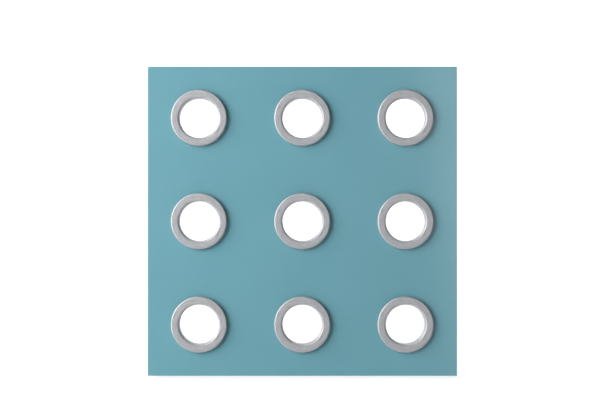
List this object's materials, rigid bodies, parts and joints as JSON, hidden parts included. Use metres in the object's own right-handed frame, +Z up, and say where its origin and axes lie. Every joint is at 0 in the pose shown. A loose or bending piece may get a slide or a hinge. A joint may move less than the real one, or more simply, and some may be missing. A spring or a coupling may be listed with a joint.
{
  "type": "tic tac toe toss board",
  "caption": "Square teal toss board with a grid of silver-ringed round holes, leaning back on folding rear legs.",
  "frame": {"origin": "on the floor, at the middle of the bounding box's underside", "axes": "+X to the right seen from the front, -Y towards the thrower, +Z up; the board leans back 25 degrees"},
  "size_m": [0.914, 0.5432, 0.8489],
  "materials": {
    "teal_lacquer": "satin lacquer",
    "oiled_beech": "oiled",
    "satin_aluminium": "satin",
    "black_nylon": "matte",
    "zinc_steel": "zinc plated",
    "brass": "turned",
    "black_rubber": "matte"
  },
  "bodies": {
    "board": {"panel": "teal_lacquer", "ring_top_left": "satin_aluminium", "ring_top_centre": "satin_aluminium", "ring_top_right": "satin_aluminium", "ring_middle_left": "satin_aluminium", "ring_middle_centre": "satin_aluminium", "ring_middle_right": "satin_aluminium", "ring_bottom_left": "satin_aluminium", "ring_bottom_centre": "satin_aluminium", "ring_bottom_right": "satin_aluminium", "ring_nut_top_left": "black_nylon", "ring_nut_top_centre": "black_nylon", "ring_nut_top_right": "black_nylon", "ring_nut_middle_left": "black_nylon", "ring_nut_middle_centre": "black_nylon", "ring_nut_middle_right": "black_nylon", "ring_nut_bottom_left": "black_nylon", "ring_nut_bottom_centre": "black_nylon", "ring_nut_bottom_right": "black_nylon", "top_rail": "teal_lacquer", "bottom_rail": "teal_lacquer", "left_rail": "teal_lacquer", "right_rail": "teal_lacquer", "left_insert_nut": "brass", "right_insert_nut": "brass", "left_spacer": "zinc_steel", "right_spacer": "zinc_steel", "left_board_pad": "black_rubber", "right_board_pad": "black_rubber"},
    "legs": {"left_leg": "oiled_beech", "right_leg": "oiled_beech", "leg_crossbar": "oiled_beech", "crossbar_screw_left_upper": "zinc_steel", "crossbar_screw_left_lower": "zinc_steel", "crossbar_screw_right_upper": "zinc_steel", "crossbar_screw_right_lower": "zinc_steel", "left_leg_pad": "black_rubber", "right_leg_pad": "black_rubber", "left_knob_washer": "zinc_steel", "right_knob_washer": "zinc_steel"},
    "left_clamp": {"left_knob": "black_nylon", "left_pivot_stud": "zinc_steel"},
    "right_clamp": {"right_knob": "black_nylon", "right_pivot_stud": "zinc_steel"}
  },
  "joints": [
    {"name": "leg_fold", "type": "hinge", "parent": "board", "child": "legs", "pos_m": [0, 0.05751, 0.63986], "axis": [-1, 0, 0], "range_deg": [0, 42]},
    {"name": "left_knob_turn", "type": "hinge", "parent": "board", "child": "left_clamp", "pos_m": [-0.4033, 0.05751, 0.63986], "axis": [1, 0, 0], "continuous": true},
    {"name": "right_knob_turn", "type": "hinge", "parent": "board", "child": "right_clamp", "pos_m": [0.4033, 0.05751, 0.63986], "axis": [1, 0, 0], "continuous": true}
  ]
}
